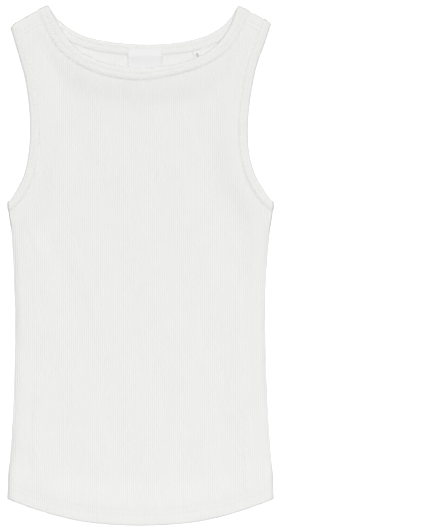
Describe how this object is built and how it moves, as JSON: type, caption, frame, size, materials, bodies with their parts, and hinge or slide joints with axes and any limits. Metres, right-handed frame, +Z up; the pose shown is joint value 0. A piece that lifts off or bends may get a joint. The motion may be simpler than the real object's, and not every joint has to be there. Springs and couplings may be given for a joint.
{
  "type": "tank top",
  "caption": "Sleeveless rib-knit tank top laid flat, with a scoop neck, bound neck and armholes and a curved hem.",
  "frame": {"origin": "middle of the footprint, on the surface that the garment lies on", "axes": "+Y towards the neck, +X towards the right of the picture, +Z up from the surface, out of the front"},
  "size_m": [0.332, 0.6462, 0.0075],
  "materials": {
    "knit": "matte",
    "binding": "matte",
    "label": "satin"
  },
  "bodies": {
    "root": {"front_panel": "knit", "back_panel": "knit", "neck_binding": "binding", "armhole_binding_left": "binding", "armhole_binding_right": "binding", "neck_label": "label", "size_tab": "label"}
  },
  "joints": []
}
